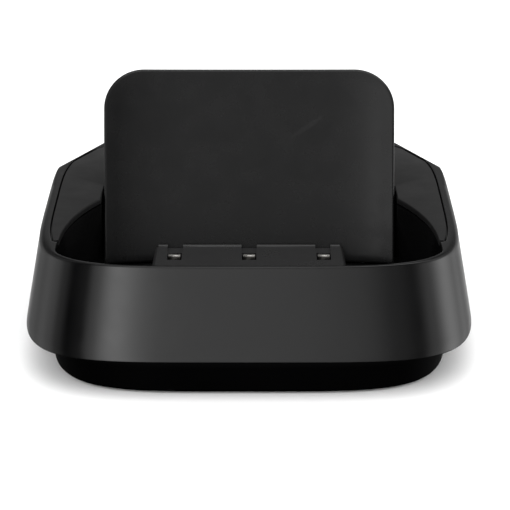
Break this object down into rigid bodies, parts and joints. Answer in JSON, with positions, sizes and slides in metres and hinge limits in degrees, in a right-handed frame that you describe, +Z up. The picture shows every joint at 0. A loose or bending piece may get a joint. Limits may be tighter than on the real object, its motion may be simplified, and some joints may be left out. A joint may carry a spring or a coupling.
{
  "type": "handset charging base",
  "caption": "Desktop charging base with a low-walled pocket, a leaning back rest and a raised block of sprung charging contacts.",
  "frame": {"origin": "middle of the footprint, on the surface the rubber pads stand on", "axes": "+Z up, +Y to the back (the power inlet's side), +X to the right seen from the front"},
  "size_m": [0.08, 0.076, 0.0446],
  "materials": {
    "satin_black": "satin injection-moulded ABS, soft reflections",
    "matte_black": "fine spark-textured ABS",
    "foot_black": "plain moulded ABS, dark",
    "rubber_grey": "matt elastomer",
    "spring_metal": "nickel-plated spring bronze, bright",
    "steel": "zinc-plated steel",
    "board_green": "glass-epoxy board with solder mask",
    "component_black": "moulded epoxy",
    "socket_black": "moulded nylon"
  },
  "bodies": {
    "base": {"base_shell": "satin_black", "deck_inlay": "matte_black", "rest_front_shell": "matte_black", "rest_rear_shell": "matte_black", "contact_block": "matte_black", "foot_tray": "foot_black", "circuit_board": "board_green", "power_socket": "socket_black", "power_socket_pin": "spring_metal", "smoothing_capacitor": "component_black", "charge_chip": "component_black", "power_diode": "component_black", "charge_resistor_left": "component_black", "charge_resistor_right": "component_black", "ballast_plate": "steel", "contact_foot_left": "spring_metal", "contact_foot_middle": "spring_metal", "contact_foot_right": "spring_metal", "rubber_pad_front_left": "rubber_grey", "foot_screw_front_left": "steel", "rubber_pad_front_right": "rubber_grey", "foot_screw_front_right": "steel", "rubber_pad_rear_left": "rubber_grey", "foot_screw_rear_left": "steel", "rubber_pad_rear_right": "rubber_grey", "foot_screw_rear_right": "steel", "board_screw_left": "steel", "rest_screw_left": "steel", "board_screw_right": "steel", "rest_screw_right": "steel"},
    "contact_left": {"contact_arm_left": "spring_metal"},
    "contact_middle": {"contact_arm_middle": "spring_metal"},
    "contact_right": {"contact_arm_right": "spring_metal"}
  },
  "joints": [
    {"name": "contact_left_press", "type": "hinge", "parent": "base", "child": "contact_left", "pos_m": [-0.0135, -0.0208, 0.0128], "axis": [-1, 0, 0], "range_deg": [0, 2.4], "stiffness_Nm_per_rad": 0.02, "springref_deg": -2.86},
    {"name": "contact_middle_press", "type": "hinge", "parent": "base", "child": "contact_middle", "pos_m": [0, -0.0208, 0.0128], "axis": [-1, 0, 0], "range_deg": [0, 2.4], "stiffness_Nm_per_rad": 0.02, "springref_deg": -2.86},
    {"name": "contact_right_press", "type": "hinge", "parent": "base", "child": "contact_right", "pos_m": [0.0135, -0.0208, 0.0128], "axis": [-1, 0, 0], "range_deg": [0, 2.4], "stiffness_Nm_per_rad": 0.02, "springref_deg": -2.86}
  ]
}
